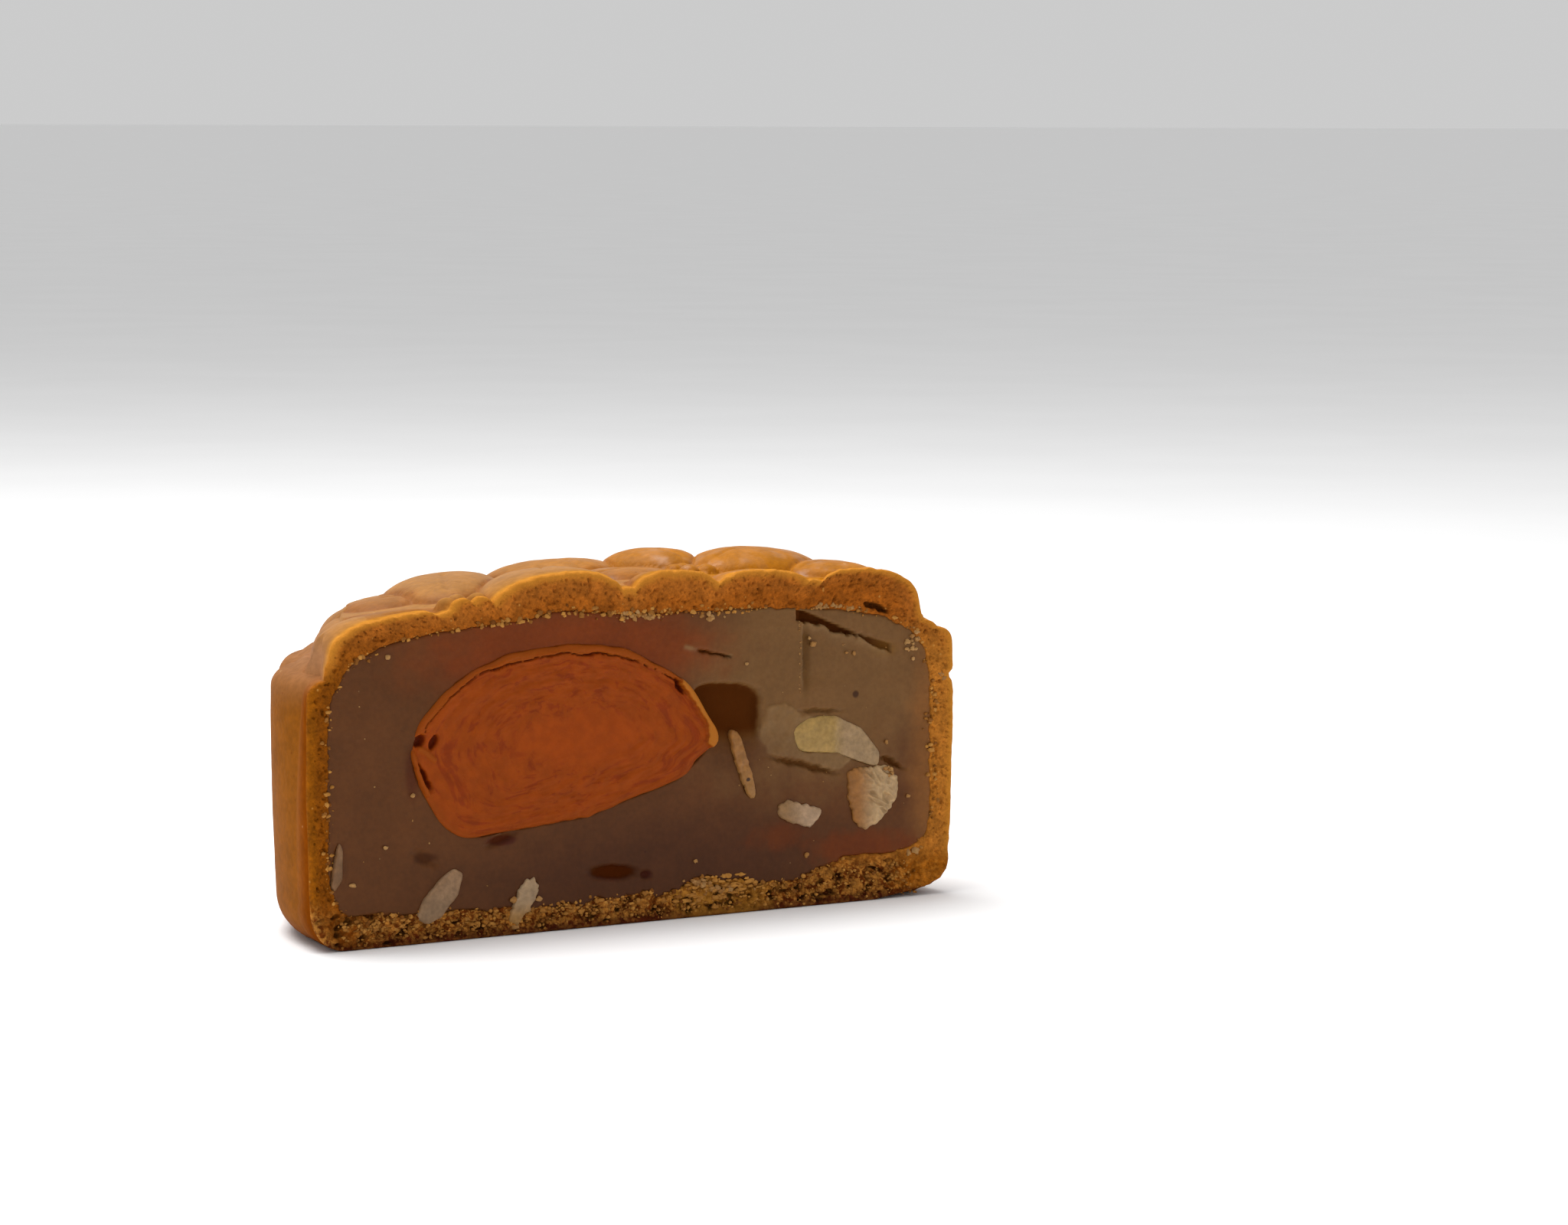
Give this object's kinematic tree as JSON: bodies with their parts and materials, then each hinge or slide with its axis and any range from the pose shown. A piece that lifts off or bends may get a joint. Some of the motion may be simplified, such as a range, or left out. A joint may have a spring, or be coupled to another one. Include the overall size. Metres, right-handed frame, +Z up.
{
  "type": "white lotus mooncake half",
  "caption": "Half of a round baked mooncake: a moulded blossom crust round white lotus paste, cut to show a salted egg yolk and bits of seed.",
  "frame": {"origin": "bottom centre of the half's bounding box, on the plane it rests on", "axes": "+X along the cut to the right as the cut is looked at, -Y out of the cut face, +Z up"},
  "size_m": [0.0799, 0.0405, 0.0389],
  "materials": {
    "crust": null,
    "lotus_paste": null,
    "egg_yolk": null,
    "seed": null
  },
  "bodies": {
    "root": {"crust": "crust", "lotus_paste": "lotus_paste", "egg_yolk": "egg_yolk", "seed_crescent": "seed", "seed_broken": "seed", "seed_short": "seed", "seed_sliver": "seed", "seed_long": "seed", "seed_ragged": "seed", "seed_thin": "seed"}
  },
  "joints": []
}
